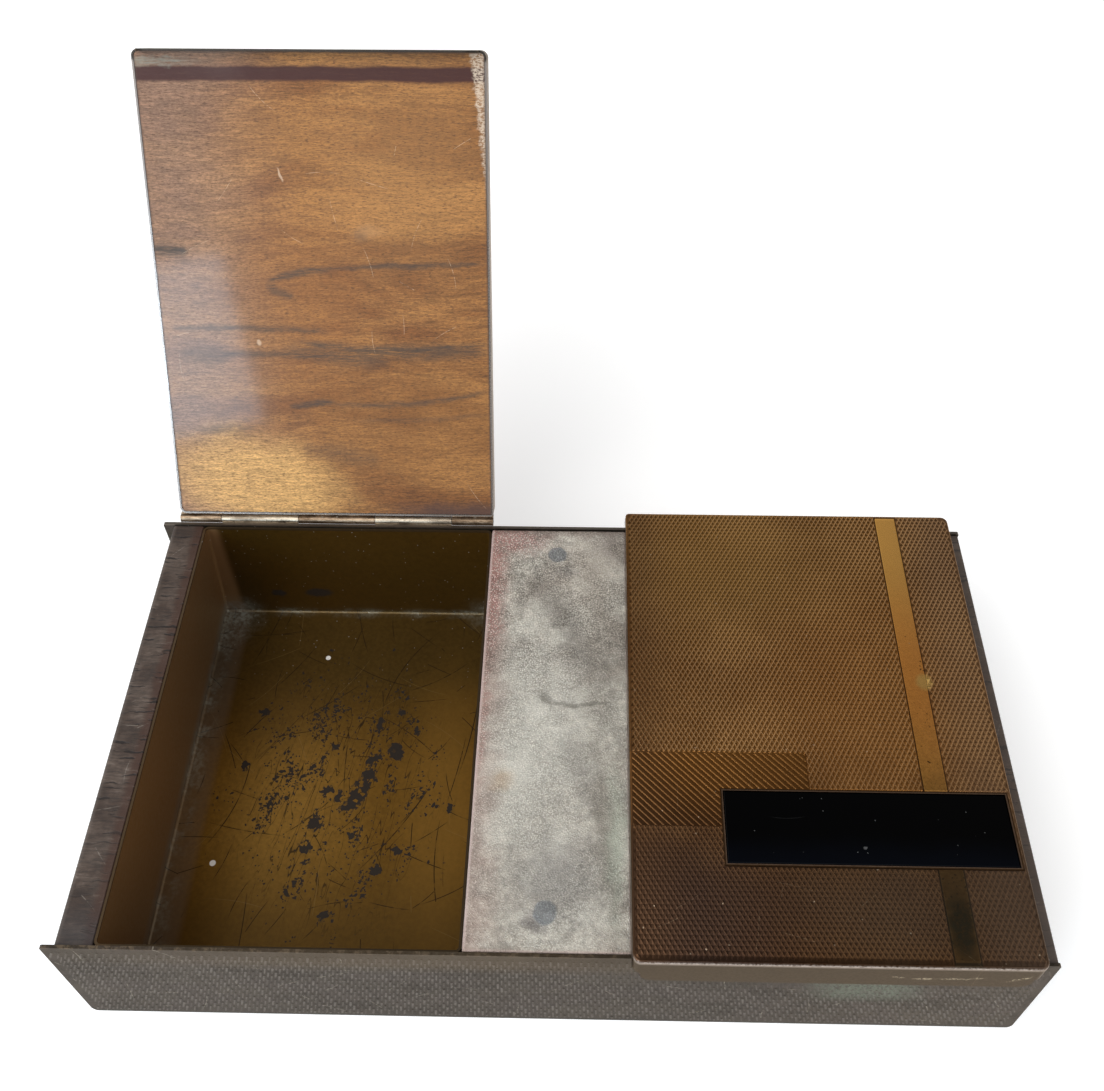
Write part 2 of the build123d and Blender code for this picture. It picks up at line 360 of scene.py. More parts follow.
def lid_bronze(side):
    """Engine-turned bronze, golden at the hinge and painted darker brown towards the front, a painted
    shade for the dark room that the metal reflects there.
    """
    mat = Material(f"{side}_lid_bronze", Metallic=1.0, Specular_Tint=(0.8, 0.7, 0.6))
    place = mat.place(side)
    x, y, z = place.axes()
    low, high = (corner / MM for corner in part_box("right_lid_shell"))
    bar_low, bar_high = (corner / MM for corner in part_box("right_lid_bar"))
    top = high.z - BORDER_RISE / MM
    cloud = place.noise(0.04, 4, 0.6)
    grit = place.noise(1.6, 4, 0.65)
    stripe_half = STRIPE_WIDTH / MM / 2
    stripe_middle = high.x - STRIPE_FROM_OUTER / MM - stripe_half
    stripe = x.band(stripe_middle - stripe_half, stripe_middle + stripe_half, 0.12)

    mat.colour = cloud.ramp(0.35, 0.65).between((0.265, 0.115, 0.029), (0.39, 0.187, 0.055))
    mat.paint((0.085, 0.036, 0.01), z.ramp(top + 0.155, top + 0.09) * 0.74)
    # dull grows towards the front: there the tops are less worn, the metal is rougher, and the colour
    # is later darkened as painted shade.
    dull = (y + cloud * 26.0).ramp(2, -34)
    mat.paint((0.52, 0.38, 0.23), z.ramp(top + 0.14, top + 0.178) * dull.ramp(0, 1, 0.5, 0.2))
    mat.patches(place.ragged(6, 0.05), 0.9, (
        ((46, 44), (26, 19), 0, (0.34, 0.19, 0.05), 0.35),
        ((80, -2), (22, 30), 0, (0.32, 0.125, 0.028), 0.35),
    ))
    hatch_side, hatch_front = low.x + HATCH_WIDTH / MM, low.y + HATCH_FROM_FRONT / MM
    panel = x.ramp(hatch_side, hatch_side - 0.1)
    panel = panel * y.band(hatch_front, hatch_front + HATCH_DEPTH / MM, 0.1)
    mat.paint(z.ramp(top + 0.015, top + 0.08).between((0.24, 0.1, 0.024), (0.29, 0.145, 0.048)), panel)

    gold = grit.between((0.52, 0.26, 0.062), (0.66, 0.35, 0.085))
    copper = place.ragged(3, 0.1).spot((93, 14), (9, 30), soft=0.6)
    gold = (copper * 0.75).between(gold, (0.85, 0.33, 0.07))
    dots = flakes(place, 0.35, cloud.ramp(0.45, 0.6) * 0.07)
    gold = (dots * 0.8).between(gold, (0.05, 0.024, 0.01))
    gold = y.ramp(10, 52).between(gold, (0.82, 0.43, 0.105))
    mat.paint(gold, stripe * z.ramp(top + 0.015, top + 0.04))
    beside = abs(x - stripe_middle).band(stripe_half - 0.25, stripe_half + 0.05, 0.12)
    mat.paint((0.05, 0.024, 0.01), beside * z.ramp(top - 0.3, top) * 0.75)

    # Painted shade: the front is painted darker, standing for the dark part of the room that the metal
    # reflects there.
    mat.paint((0.07, 0.038, 0.02), dull * 0.45)
    mat.paint(mat.colour.tinted((0.4, 0.37, 0.37)), dull)
    corner = place.ragged(5, 0.06).spot((low.x + 12, low.y + 10), (24, 22))
    mat.paint((0.045, 0.028, 0.022), corner * 0.72)
    mat.paint((0.21, 0.165, 0.13), x.ramp(high.x - 22, high.x - 3) * 0.2)
    greyer = place.ragged(5, 0.06).spot((80, -51), (20, 14))
    mat.paint((0.08, 0.066, 0.05), greyer * 0.32)
    mat.paint((0.1, 0.052, 0.026), x.ramp(low.x + 16, low.x + 1) * 0.45)
    tarnish = place.ragged(2.4, 0.3).spot((92.3, -56), (2.6, 7), soft=0.5)
    mat.paint((0.022, 0.022, 0.016), tarnish * stripe * grit.ramp(0.3, 0.6, 0.4, 0.85))
    mat.paint((0.06, 0.055, 0.035), stripe * y.ramp(bar_low.y + 2.2, bar_low.y - 1.8) * 0.28)
    drop = place.ragged(0.5, 0.8).spot((94.4, 7.1), (1.9, 2.2), soft=0.4)
    mat.paint((0.72, 0.46, 0.14), drop * 0.75)
    mat.paint((0.62, 0.5, 0.36), specks(place, 0.3, 0.012) * 0.3)

    reach = BAR_BORDER / MM + 0.05
    border = z.ramp(top + 0.09, top + 0.115) * x.band(bar_low.x - reach, bar_high.x + reach, 0.02)
    border = border * y.band(bar_low.y - reach, bar_high.y + reach, 0.02)
    mat.paint((0.085, 0.045, 0.02), border)
    close = x.band(bar_low.x - 0.3, bar_high.x + 0.35, 0.06)
    close = close * y.band(bar_low.y - 0.3, bar_high.y + 0.3, 0.06)
    mat.paint((0.21, 0.135, 0.09), border * close)
    grey = cloud.between((0.15, 0.13, 0.115), (0.22, 0.195, 0.18))
    mat.paint(grey, z.ramp(top - 0.25, top - 0.55) * 0.9)
    lip = z.ramp(top - 1.4, top - 1.8) * y.ramp(low.y + 3.2, low.y + 2.2)
    mat.paint(grit.between((0.026, 0.022, 0.019), (0.052, 0.045, 0.039)), lip)
    nicks = place.upright().ragged(0.8, 1.3).spots(0.5, (
        ((84, 43.2), (2.2, 0.6)), ((90.5, 43.4), (3.6, 0.4)),
        ((104, 43.4), (2, 0.4), 35), ((106.2, 44.6), (1.3, 0.3), 50),
        ((78, 43.9), (1.2, 0.4), -10), ((95.4, 44), (1.5, 0.35), 10),
    ))
    mat.paint((0.42, 0.37, 0.27), nicks * lip * grit.ramp(0.44, 0.54) * 0.75)
    # A pale line along the front edge: partly rubbed metal, partly a painted highlight for the light
    # that the rounded edge catches.
    rubbed = z.band(top - 1.0, top - 0.3, 0.3) * y.ramp(low.y + 2.2, low.y + 0.6)
    mat.paint((0.62, 0.55, 0.5), rubbed * grit.ramp(0.35, 0.6) * 0.6)
    scuffs = hairlines(place, 11, 0.09, 0.35) * 0.14
    mat.paint((0.6, 0.46, 0.3), scuffs * grit.ramp(0.4, 0.6))
    rough = grit.ramp(0.2, 0.8, 0.22, 0.34) + dull * 0.08
    return mat.finish(rough, grit * 0.6 - scuffs, 0.02 * MM, 0.5)


def case_bronze():
    """The same bronze on the case, gone olive brown, with green, mauve and rubbed patches."""
    mat = Material("case_bronze", Metallic=1.0, Specular_Tint=(0.74, 0.71, 0.68))
    place = mat.place()
    x, y, z = place.axes()
    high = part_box("case_shell")[1] / MM
    rise = abs(y).ramp(high.y + 0.005, high.y + 0.085)
    front = y.ramp(0, -1)
    cloud = place.scaled((0.03, 0.05, 0.09)).noise(1.0, 4, 0.6)
    other = place.scaled((0.05, 0.05, 0.12), shift=(31, 5, 2)).noise(1.0, 3, 0.6)
    grit = place.noise(2.2, 4, 0.65)
    mat.colour = cloud.ramp(0.35, 0.65).between((0.045, 0.037, 0.03), (0.076, 0.064, 0.052))
    mat.paint((0.068, 0.056, 0.048), other.ramp(0.46, 0.58))
    mat.paint(mat.colour.tinted((1.25, 1.22, 1.17)), x.ramp(20, 90))
    mat.tint(grit.ramp(0.25, 0.75, 0.62, 1.3))
    # Painted highlight and shade: the strokes' tops are painted paler and the ground between them
    # darker, partly wear and dirt, partly standing in for the light and shade on the relief.
    wear_and_painted_highlight = place.scaled((0.4, 0.05, 0.3)).noise(1.0, 4, 0.7).ramp(0.38, 0.64)
    smooth = x.ramp(0, 20) * z.ramp(22, 32)
    wear_and_painted_highlight = wear_and_painted_highlight * smooth.ramp(0, 1, 1.0, 0.25)
    worn = grit.between((0.13, 0.116, 0.102), (0.22, 0.2, 0.178))
    mat.paint(worn, rise * wear_and_painted_highlight.ramp(0, 1, 0.15, 0.8))
    gap_dirt_and_painted_shade = place.scaled((1.0, 0.3, 0.28)).noise(1.0, 3, 0.6).ramp(0.46, 0.62) * rise.ramp(0.4, 0.0)
    mat.paint((0.028, 0.024, 0.021), gap_dirt_and_painted_shade * 0.4)
    golden = place.ragged(5, 0.1).spot((-30, -high.y), (60, 99)) * z.ramp(31, 38) * front
    mat.paint((0.14, 0.1, 0.058), golden * 0.4)

    along = place.ragged(4, 0.2).spot((75, -high.y), (11, 99), soft=0.6)
    patina = along * z.band(20, 38, 3.5) * front * grit.ramp(0.36, 0.6) * 0.8
    mat.paint((0.165, 0.195, 0.15), patina)
    scuffs = hairlines(place.scaled((1, 0, 1)).upright(), 11, 0.16, 0.45) * 0.5
    scuffs = scuffs * place.noise(0.6, 3, 0.6).ramp(0.45, 0.6)
    mat.paint((0.5, 0.46, 0.37), scuffs)
    top_edge = z.band(high.z - 0.5, high.z + 1, 0.25)
    mat.paint((0.2, 0.15, 0.1), top_edge * place.noise(0.5, 4, 0.7).ramp(0.5, 0.62) * 0.55)
    mat.paint((0.16, 0.135, 0.11), y.ramp(0, 1) * top_edge * 0.8)
    mat.paint((0.06, 0.06, 0.05), z.ramp(3.2, 1.0) * 0.45)
    return mat.finish(grit.ramp(0.2, 0.8, 0.36, 0.55), grit * 0.8 - scuffs, 0.05 * MM, 0.7)


def lacquer():
    """Brown-gold lacquer on the trays: chips to the dark metal, scratches and white residue."""
    mat = Material(
        "tray_lacquer", Metallic=0.55, Coat_Weight=0.1, Coat_Roughness=0.3,
        Specular_Tint=(1.0, 0.8, 0.5),
    )
    place = mat.place()
    x, y, z = place.axes()
    cloud = place.noise(0.03, 3, 0.55)
    grit = place.noise(0.9, 5, 0.7)
    low, high = (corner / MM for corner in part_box("left_tray"))
    floor_z = low.z + 0.6
    on_floor = z.ramp(floor_z + 1.6, floor_z + 0.4)
    gold = cloud.between((0.17, 0.08, 0.009), (0.225, 0.114, 0.015))
    # Painted light: a brighter golden pool in the middle of the floor.
    painted_light_pool = place.ragged(8, 0.05).spot((-76, -6), (17, 26), soft=0.9)
    gold = (painted_light_pool * 0.75).between(gold, (0.33, 0.175, 0.032))
    # Painted shadow: the floor is painted darker towards the back, where the open lid shades the tray.
    back = place.ragged(9, 0.03).axes()[1].ramp(-2, 46)
    gold = (back * 0.8).between(gold, (0.05, 0.033, 0.009))
    brown = cloud.between((0.048, 0.024, 0.003), (0.07, 0.037, 0.006))
    mat.colour = on_floor.between(brown, gold)
    mat.tint(grit.ramp(0.3, 0.7, 0.82, 1.12))
    mat.paint((0.08, 0.045, 0.01), y.ramp(-12, -44) * on_floor * 0.5)
    right = place.ragged(6, 0.05).spot((-32, -4), (9, 34))
    mat.paint((0.33, 0.17, 0.03), right * on_floor * 0.4)
    # Painted light: the left wall's inner face is painted lighter, as where light falls on it.
    mat.paint((0.3, 0.172, 0.08), x.ramp(-98, -101) * z.ramp(1.5, 3) * 0.85)
    # Painted highlight: a greyish band along the foot of the left wall, for the light on its rounded
    # base.
    mat.paint((0.22, 0.18, 0.15), x.ramp(-96, -99) * z.band(1.2, 5.5, 1.6) * 0.5)
    mat.paint((0.035, 0.024, 0.014), z.ramp(high.z - 0.8, high.z - 0.4) * 0.85)

    left_tray = x.ramp(0, -1) * on_floor
    worn = place.ragged(8, 0.06).spot((-62, 0), (25, 36), soft=0.6)
    lines = most(
        hairlines(place, 34, 0.2, 0.8, turn=70, spread=0.5, bend=0.5),
        hairlines(place.scaled((1, 1, 1), shift=(13, 7, 0)), 21, 0.17, 0.85),
        hairlines(place.scaled((1, 1, 1), shift=(5, 31, 0)), 11, 0.15, 0.8),
        scratches(place, 80, 17, 2.4, 0.012) * worn,
    )
    broken = place.noise(0.35, 3, 0.6).ramp(0.36, 0.5, 0.35, 1.0)
    mat.paint((0.022, 0.012, 0.005), lines * broken * on_floor)
    pale = hairlines(place.scaled((1, 1, 1), shift=(8, 2, 0)), 17, 0.09, 0.5)
    mat.paint((0.4, 0.28, 0.12), pale * on_floor * 0.25)
    torn = place.ragged(0.35, 0.9)
    cluster = place.scaled((1, 0.6, 1), turn=18).noise(0.13, 3, 0.6).ramp(0.5, 0.66)
    pits = flakes(torn, 0.75, worn * cluster * 0.34)
    small = flakes(torn, 0.42, worn * cluster.ramp(0, 1, 0.035, 0.2))
    gone = most(chip_marks(place) * left_tray, most(pits, small) * left_tray)
    wall_chips = place.upright().ragged(1.1, 0.6).spots(0.25, (
        ((-74.5, 11.5), (4.2, 2.0)), ((-87.0, 11.0), (2.2, 1.6)),
    ))
    gone = most(gone, wall_chips * y.ramp(high.y - 2.1, high.y - 1.1))
    mat.paint((0.028, 0.023, 0.022), gone)

    dust = residue_marks(place) * grit.ramp(0.36, 0.66, 0.25, 1.0)
    mat.paint((0.27, 0.31, 0.29), dust * 0.62)
    dots = place.spots(0.15, (((-70.6, 43.2), (0.75, 0.75)), ((-92.7, -23.0), (0.85, 0.85))))
    dots = dots * left_tray
    grains = specks(place, 0.26, 0.03) * y.ramp(20, 55)
    mat.paint((0.85, 0.83, 0.8), most(dots, grains * 0.3))
    rough = grit.ramp(0.2, 0.8, 0.3, 0.42) + gone * 0.2
    metal = most(dust, dots).ramp(0.2, 0.8, 0.55, 0.0)
    return mat.finish(rough, grit * 0.25 - pits * 0.5, 0.05 * MM, 0.6, Metallic=metal)


def chip_marks(place):
    """1 where flakes of lacquer have gone from the left tray's floor."""
    chips = flaked(place.ragged(0.5, 0.6), 0.75).spots(0.06, (
        ((-55.6, -1.4), (2.6, 4.6), -20), ((-53.4, 4.4), (1.9, 1.9)),
        ((-57.6, -5.4), (2.8, 1.8), 20), ((-61, -2.6), (1, 2), -10),
        ((-66.5, -11.2), (2.1, 2.3)), ((-68.2, -18), (1.7, 2), 30),
        ((-67.4, -22.3), (1.3, 0.8), 10), ((-48.1, -24.5), (1.6, 1.7), 40),
        ((-60.5, -36.9), (1.5, 1.3)), ((-89.3, 6.1), (1.1, 1.9)),
        ((-29.7, -6), (0.8, 1.8)), ((-56, -14.5), (1.1, 1.1)),
        ((-43, -18.5), (1.5, 1), -20), ((-65, -1), (2.4, 1.1), 10),
        ((-46.5, 11.5), (2.3, 3), 35), ((-52.5, 9), (2.6, 1.1), 30),
        ((-46, 24.5), (1.5, 1.2), 30), ((-52, 20), (1, 2.6), -10),
        ((-87, 24), (1.7, 1.1), 20), ((-41, 18.5), (1, 1.3)),
        ((-64, 13), (1.2, 1), 30), ((-69.5, -28), (1.1, 0.8), 20),
    ))
    return chips * place.cells(1.1)["Color"].axes()[0].ramp(0.1, 0.16)


def residue_marks(place):
    """1 where whitish dirt is left in the back corners and along the trays' floor lines."""
    low, high = (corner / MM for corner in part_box("left_tray"))
    _, y, z = place.axes()
    uneven = place.ragged(1.6, 0.25).axes()
    patches = place.noise(0.14, 3, 0.6).ramp(0.4, 0.62, 0.15, 1.0)
    back_line = uneven[1].ramp(high.y - 3.6, high.y - 1.2) * z.ramp(low.z + 3.2, low.z + 1.2) * 0.55
    side_line = uneven[0].ramp(low.x + 7.0, low.x + 3.0) * uneven[2].ramp(low.z + 5.0, low.z + 1.5)
    side_line = side_line * y.ramp(-62, 62, 0.45, 0.8)
    corner = place.ragged(5, 0.15).spot((low.x + 4, high.y - 2), (6, 9), soft=0.9)
    right_corner = place.ragged(3, 0.3).spot((high.x - 1, high.y - 2), (6, 4))
    low_down = uneven[2].ramp(low.z + 10, low.z + 1)
    return most(
        corner * low_down * 0.95, most(back_line, side_line) * patches, right_corner * low_down * 0.8
    )


def walnut(side):
    """Varnished walnut inside a lid: fine pores, dark streaks, a knot and old glue."""
    mat = Material(
        f"{side}_lining_walnut", Specular_IOR_Level=0.2, Coat_Weight=0.2, Coat_Roughness=0.07
    )
    place = mat.place(side)
    x, y, _ = place.axes()
    low, high = (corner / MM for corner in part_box("right_lid_lining"))
    wavy = place.ragged(2.6, 0.025)
    figure = wavy.scaled((0.02, 0.08, 0.08)).noise(1.0, 5, 0.62, 0.6)
    fibre = wavy.scaled((0.16, 1.7, 1.7)).noise(1.0, 5, 0.75)
    cloud = place.noise(0.028, 3, 0.5)
    pale = cloud.between((0.29, 0.126, 0.034), (0.37, 0.168, 0.047))
    deep = cloud.between((0.155, 0.055, 0.013), (0.2, 0.078, 0.019))
    mat.colour = figure.ramp(0.36, 0.66).between(pale, deep)
    # Painted reflection: a greyer tone over the lining's outer third, for the window's sheen in the
    # varnish.
    mat.paint((0.26, 0.17, 0.125), place.ragged(6, 0.05).axes()[0].ramp(66, 104) * 0.55)
    # Painted sheen: a bright golden patch near the hinge, for the light that the varnish reflects
    # there.
    painted_sheen_patch = place.ragged(6, 0.08).spot((86, 52), (23, 12), -14, soft=0.5)
    mat.paint((0.66, 0.38, 0.13), painted_sheen_patch * 0.72)
    mat.tint(fibre.ramp(0.28, 0.72, 0.6, 1.28))
    mottle = wavy.scaled((1.1, 2.6, 2.6)).noise(1.0, 3, 0.75).ramp(0.3, 0.7)
    mat.tint(mottle.ramp(0, 1, 1.18, 0.78))
    mat.patches(wavy.ragged(7, 0.06), 0.8, (
        ((70, 2), (17, 26), 0, (0.21, 0.075, 0.018), 0.4),
        ((38, 34), (26, 16), 0, (0.2, 0.08, 0.016), 0.4),
        ((40, -36), (20, 24), 0, (0.4, 0.2, 0.065), 0.3),
        ((72, -44), (16, 7), 0, (0.19, 0.08, 0.025), 0.3),
    ))
    pores = place.scaled((0.7, 4.2, 4.2)).noise(1.0, 2, 0.6).ramp(0.55, 0.64)
    mat.paint((0.055, 0.024, 0.011), pores * 0.62)

    mat.paint((0.05, 0.036, 0.026), walnut_streaks(place))
    paler = place.ragged(1.5, 0.3).spot((51.5, -19.2), (3.6, 1.8), 10)
    mat.paint((0.5, 0.27, 0.12), paler * 0.25)
    stripe = place.ragged(0.8, 0.1).axes()[1].band(low.y + 3.6, low.y + 7.2, 0.5)
    mat.paint((0.04, 0.009, 0.007), stripe * fibre.ramp(0.2, 0.5, 0.75, 0.97))
    stain = place.ragged(1.8, 0.2).axes()[1].ramp(high.y - 5, high.y - 1) * x.ramp(56, 34)
    mat.paint((0.06, 0.03, 0.024), stain * 0.8)

    ragged_x, ragged_y, _ = place.ragged(1.5, 0.55).axes()
    glue = (ragged_x + ragged_y * 0.1).ramp(low.x - 2.4, low.x - 3.6)
    glue = glue * y.ramp(-24, -34) * mottle.ramp(0.75, 0.4, 0.15, 1.0)
    mat.paint((0.56, 0.45, 0.34), glue * 0.8)
    smear = place.ragged(1.4, 0.4).spot((high.x - 6, low.y + 2.4), (9, 1.1), soft=0.6)
    mat.paint((0.2, 0.2, 0.16), smear * fibre.ramp(0.35, 0.6) * 0.8)
    edge = most(
        x.ramp(low.x + 0.6, low.x + 0.1), x.ramp(high.x - 0.6, high.x),
        y.ramp(low.y + 0.6, low.y + 0.1),
    )
    mat.paint((0.07, 0.045, 0.035), edge * 0.5)
    nicks = most(
        hairlines(place, 9, 0.08, 0.1) * fibre.ramp(0.4, 0.55),
        place.ragged(0.6, 0.6).spot((74.0, -34), (0.3, 1.7), 20, soft=0.4),
        place.ragged(0.5, 0.8).spot((83.1, 11.2), (0.6, 0.8), 0, soft=0.4),
    )
    mat.paint((0.62, 0.45, 0.3), nicks * 0.55)
    return mat.finish(fibre.ramp(0.2, 0.8, 0.36, 0.55), fibre * 0.5 - pores, 0.03 * MM, 0.6)


def walnut_streaks(place):
    """How dark the veneer's own streaks, spots and knot are, from 0 to 1."""
    drift = place.ragged(1.2, 0.07).ragged(0.35, 0.6)
    lines = (
        ((80.5, -5.2), (60, -9.3), -0.9, 1, 0.82), ((66, -9), (18, -10.6), -0.4, 0.8, 0.72),
        ((80.5, -5), (72, -1.6), 0.6, 1.3, 0.6), ((110, 6.9), (61, 7.9), 0, 0.9, 0.66),
        ((75, 10.4), (18, 10.4), 2.6, 1.2, 0.85), ((62, 13.6), (17, 12.4), 0.6, 2.2, 0.7),
        ((105, 15.6), (46, 16.8), -1.6, 1, 0.75), ((78, 13), (45, 16.4), 0, 2.8, 0.62),
        ((106, 15.6), (90, 14.4), 0, 2.4, 0.5), ((77, 29.5), (62, 27.9), -0.4, 0.9, 0.85),
        ((66, 28.2), (18, 23.6), 2.6, 0.8, 0.62), ((104, 37.2), (86, 36.2), 0, 1.2, 0.4),
        ((75, 41), (50, 45.6), 0, 2.6, 0.4), ((110.4, -14.7), (100, -13.6), 0, 1.5, 1),
        ((55.5, -18.2), (51.5, -17.8), 0, 1.8, 0.45), ((60, 33.4), (17, 30.6), 1, 0.7, 0.35),
    )
    marks = [streak(drift, *line) * strength for *line, strength in lines]
    grain = place.scaled((0.2, 2.2, 1.0)).noise(1.0, 4, 0.7)
    return most(*marks) * grain.ramp(0.3, 0.56, 0.25, 1.0)


def leather():
    """Grey leather, once red: rubbed pale, stained at its edges and over the screws."""
    mat = Material("strip_leather", Specular_IOR_Level=0.35)
    place = mat.place()
    x, y, z = place.axes()
    low, high = (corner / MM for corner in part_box("centre_leather"))
    cloud = place.noise(0.06, 4, 0.65)
    mottle = place.noise(0.5, 5, 0.7)
    pebble = place.ragged(0.25, 1.4).cells(2.1)["Distance"]
    grain = place.noise(1.9, 3, 0.75).ramp(0.3, 0.7)
    slant = place.scaled((0.5, 1.5, 1), turn=38).noise(1.0, 3, 0.6)
    mat.colour = cloud.ramp(0.3, 0.7).between((0.33, 0.3, 0.26), (0.5, 0.485, 0.43))
    mat.tint(mottle.ramp(0.25, 0.75, 0.62, 1.3))
    far = place.ragged(5, 0.08).spot((9, 47), (9, 17))
    mat.paint((0.6, 0.56, 0.49), far * 0.4)
    middle = place.ragged(8, 0.05).spot((-4, -8), (12, 34))
    mat.paint((0.56, 0.56, 0.51), middle * 0.6)

    to_left = place.ragged(4, 0.12).axes()[0].ramp(low.x + 9, low.x + 0.5)
    mat.paint((0.3, 0.18, 0.15), to_left * 0.42)
    mat.patches(place.ragged(2.6, 0.2), 0.9, (
        ((3.4, 27), (3.6, 13), 24, (0.11, 0.098, 0.085), 0.5),
        ((-4.5, 38), (3.2, 6), 35, (0.12, 0.1, 0.085), 0.3),
        ((10.5, 40), (3.0, 15), 8, (0.17, 0.135, 0.1), 0.3),
        ((14.5, 56), (5.0, 4.5), 0, (0.13, 0.095, 0.085), 0.35),
        ((2.3, 46.5), (1.9, 1.7), 0, (0.16, 0.155, 0.15), 0.45),
        ((-3.6, -53.8), (2.6, 1.3), -40, (0.09, 0.08, 0.085), 0.6),
        ((2.6, -44.0), (9.0, 9.0), 0, (0.13, 0.125, 0.125), 0.5),
        ((-12.3, -18.4), (2.6, 2.2), 0, (0.34, 0.22, 0.12), 0.5),
        ((15.8, -34), (1.9, 15), 0, (0.42, 0.48, 0.39), 0.5),
        ((12.9, -30), (2.2, 19), 4, (0.13, 0.115, 0.09), 0.5),
        ((12.0, 8), (5.0, 17), -10, (0.15, 0.13, 0.105), 0.3),
        ((6.5, -14), (3.0, 9), 20, (0.17, 0.16, 0.145), 0.35),
    ))
    crease = place.ragged(1.2, 0.35).spots(0.6, (
        ((-2.2, 5.0), (1.2, 2.4), 35), ((3.0, 3.4), (4.6, 0.7), -8), ((10.0, 3.6), (4.0, 0.6), 8),
    ))
    mat.paint((0.08, 0.075, 0.06), crease * 0.55)
    mat.patches(place.ragged(0.5, 0.5), 0.14, (
        ((-0.2, 52.2), (2.6, 2.6), 0, (0.13, 0.15, 0.17), 0.72),
        ((-0.7, -51.6), (2.7, 2.9), 0, (0.13, 0.15, 0.17), 0.7),
    ))

    wet_x, wet_y, _ = place.ragged(3.0, 0.22).axes()
    red = most(
        wet_x.ramp(low.x + 7, low.x + 1.5) * wet_y.ramp(8, 34),
        place.ragged(2.4, 0.3).spot((-12, 57), (8, 4.5), soft=0.7),
        wet_x.ramp(low.x + 3, low.x + 1) * wet_y.ramp(-30, -10) * 0.5,
    )
    pits = (pebble + slant * 0.35).ramp(0.36, 0.68)
    stained = pits.between((0.62, 0.46, 0.42), (0.27, 0.085, 0.075))
    mat.paint(stained, red * grain.ramp(0.25, 0.6, 0.15, 0.72))
    depth = place.noise(0.1, 3, 0.6).ramp(0.35, 0.6, 0.55, 1.0)
    depth = pits * (y.ramp(-5, 30, 0.75, 1.0) * depth) * grain.ramp(0.3, 0.7, 1.0, 0.55)
    light, dark = (mat.colour.tinted(by) for by in ((1.29, 1.26, 1.23), (0.4, 0.37, 0.35)))
    mat.colour = depth.between(light, dark)
    mat.paint((0.13, 0.08, 0.065), wet_y.ramp(high.y - 3, high.y - 0.5) * 0.4)
    rim = most(
        x.ramp(low.x + 1.0, low.x + 0.4), x.ramp(high.x - 0.9, high.x),
        y.ramp(low.y + 0.8, low.y + 0.2),
    )
    mat.paint((0.5, 0.38, 0.35), rim * z.ramp(high.z - 1.5, high.z - 0.2) * 0.6)
    rough = mottle.ramp(0.25, 0.75, 0.45, 0.68)
    return mat.finish(rough, mottle * 0.6 - pits * 0.9, 0.14 * MM, 0.9)


def end_wood():
    """Dark grey-brown end blocks with saw lines across them and cracks by the right lid."""
    mat = Material("end_wood", Specular_IOR_Level=0.35)
    place = mat.place()
    x, y, z = place.axes()
    low, high = (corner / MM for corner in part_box("right_end_block"))
    uneven = place.ragged(0.8, 0.3)
    lines = uneven.scaled((0.22, 1.5, 0.5)).noise(1.0, 5, 0.75)
    cloud = place.noise(0.09, 4, 0.65)
    mat.colour = cloud.ramp(0.35, 0.65).between((0.042, 0.027, 0.02), (0.088, 0.064, 0.05))
    mat.tint(lines.ramp(0.28, 0.72, 0.5, 1.4))
    inner = abs(place.ragged(1.0, 0.2).axes()[0]).ramp(low.x + 0.6, low.x - 1.6)
    mat.paint((0.045, 0.018, 0.01), inner * 0.75)
    mat.paint((0.17, 0.145, 0.125), lines.ramp(0.56, 0.7) * cloud.ramp(0.4, 0.6) * 0.45)
    mat.paint((0.028, 0.027, 0.03), y.ramp(-48, -62) * 0.6)
    mat.paint((0.07, 0.045, 0.03), x.ramp(0, 1) * 0.45)
    cracks = uneven.scaled((0.12, 0.9, 0.4)).noise(1.0, 2, 0.5).ramp(0.6, 0.66)
    cracks = cracks * y.ramp(-50, -10, 0.4, 1.0)
    mat.paint((0.009, 0.006, 0.005), cracks * 0.85)
    arris = z.ramp(high.z - 0.5, high.z - 0.1) * abs(x).ramp(high.x - 4.0, high.x - 3.2)
    mat.paint((0.2, 0.17, 0.15), arris * 0.2)
    nicks = hairlines(place, 6, 0.14, 0.4) * lines.ramp(0.4, 0.6)
    mat.paint((0.3, 0.27, 0.23), nicks * 0.4)
    return mat.finish(lines.ramp(0.3, 0.7, 0.55, 0.8), lines - cracks, 0.14 * MM, 0.8)


def plain_wood():
    """Bare wood of the centre block and board, which shows only under the strip's edges."""
    mat = Material("centre_wood", Specular_IOR_Level=0.3)
    place = mat.place()
    rings = place.ragged(2, 0.05).scaled((0.3, 0.02, 0.3)).noise(1.0, 5, 0.65)
    fibre = place.scaled((2.6, 0.1, 2.6)).noise(1.0, 4, 0.6)
    mat.colour = rings.ramp(0.35, 0.65).between((0.15, 0.085, 0.045), (0.27, 0.165, 0.09))
    mat.tint(fibre.ramp(0.3, 0.7, 0.8, 1.15))
    return mat.finish(fibre.ramp(0.3, 0.7, 0.55, 0.75), fibre, 0.06 * MM, 0.6)


